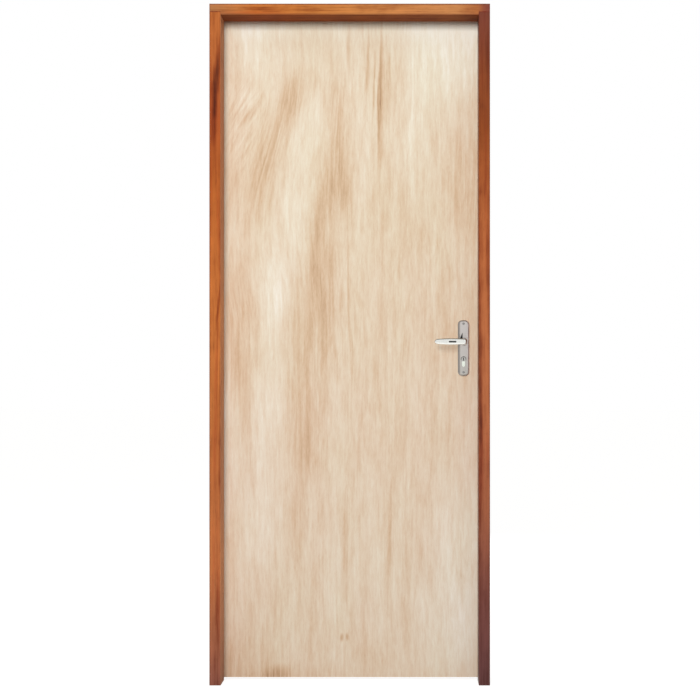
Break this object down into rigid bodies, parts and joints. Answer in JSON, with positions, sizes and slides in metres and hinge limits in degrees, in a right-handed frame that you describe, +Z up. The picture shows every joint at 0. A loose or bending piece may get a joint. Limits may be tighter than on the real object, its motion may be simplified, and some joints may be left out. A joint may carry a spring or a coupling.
{
  "type": "prehung flush door",
  "caption": "Flush wooden door leaf hung in its own rebated hardwood frame, with butt hinges, a mortise lock, lever handles on long plates and a key cylinder.",
  "frame": {"origin": "on the outer face of the hinge jamb, which stands against the wall, at floor level and at half the frame's depth", "axes": "+X from the hinge side to the lock side, +Y from the push side, which the picture shows, to the pull side, +Z up"},
  "size_m": [0.88, 0.198, 2.138],
  "materials": {
    "frame_hardwood": "oiled",
    "leaf_veneer": "sanded",
    "leaf_framing": "sawn",
    "lock_steel": "brushed",
    "bolt_brass": "satin",
    "plate_nickel": "satin",
    "lever_nickel": "polished",
    "cylinder_nickel": "satin",
    "plug_nickel": "satin",
    "hinge_steel": "satin"
  },
  "bodies": {
    "frame": {"hinge_jamb": "frame_hardwood", "strike_jamb": "frame_hardwood", "head_jamb": "frame_hardwood", "strike_plate": "lock_steel", "top_hinge_frame_plate": "hinge_steel", "top_hinge_pin": "hinge_steel", "middle_hinge_frame_plate": "hinge_steel", "middle_hinge_pin": "hinge_steel", "bottom_hinge_frame_plate": "hinge_steel", "bottom_hinge_pin": "hinge_steel"},
    "leaf": {"front_skin": "leaf_veneer", "back_skin": "leaf_veneer", "hinge_stile": "leaf_framing", "lock_stile": "leaf_framing", "top_rail": "leaf_framing", "bottom_rail": "leaf_framing", "core_slats": "leaf_framing", "lock_block": "leaf_framing", "lock_case": "lock_steel", "lock_faceplate": "lock_steel", "latch_bolt": "bolt_brass", "dead_bolt": "bolt_brass", "front_backplate": "plate_nickel", "back_backplate": "plate_nickel", "cylinder_body": "cylinder_nickel", "front_key_plug": "plug_nickel", "back_key_plug": "plug_nickel", "top_hinge_door_plate": "hinge_steel", "middle_hinge_door_plate": "hinge_steel", "bottom_hinge_door_plate": "hinge_steel"},
    "levers": {"front_lever": "lever_nickel", "back_lever": "lever_nickel", "lever_spindle": "lock_steel"}
  },
  "joints": [
    {"name": "door_swing", "type": "hinge", "parent": "frame", "child": "leaf", "pos_m": [0.0275, 0.0775, 1], "axis": [0, 0, 1], "range_deg": [0, 170]},
    {"name": "lever_turn", "type": "hinge", "parent": "leaf", "child": "levers", "pos_m": [0.8, 0.0525, 1.08], "axis": [0, -1, 0], "range_deg": [0, 40], "stiffness_Nm_per_rad": 1.2, "springref_deg": -20.05}
  ]
}
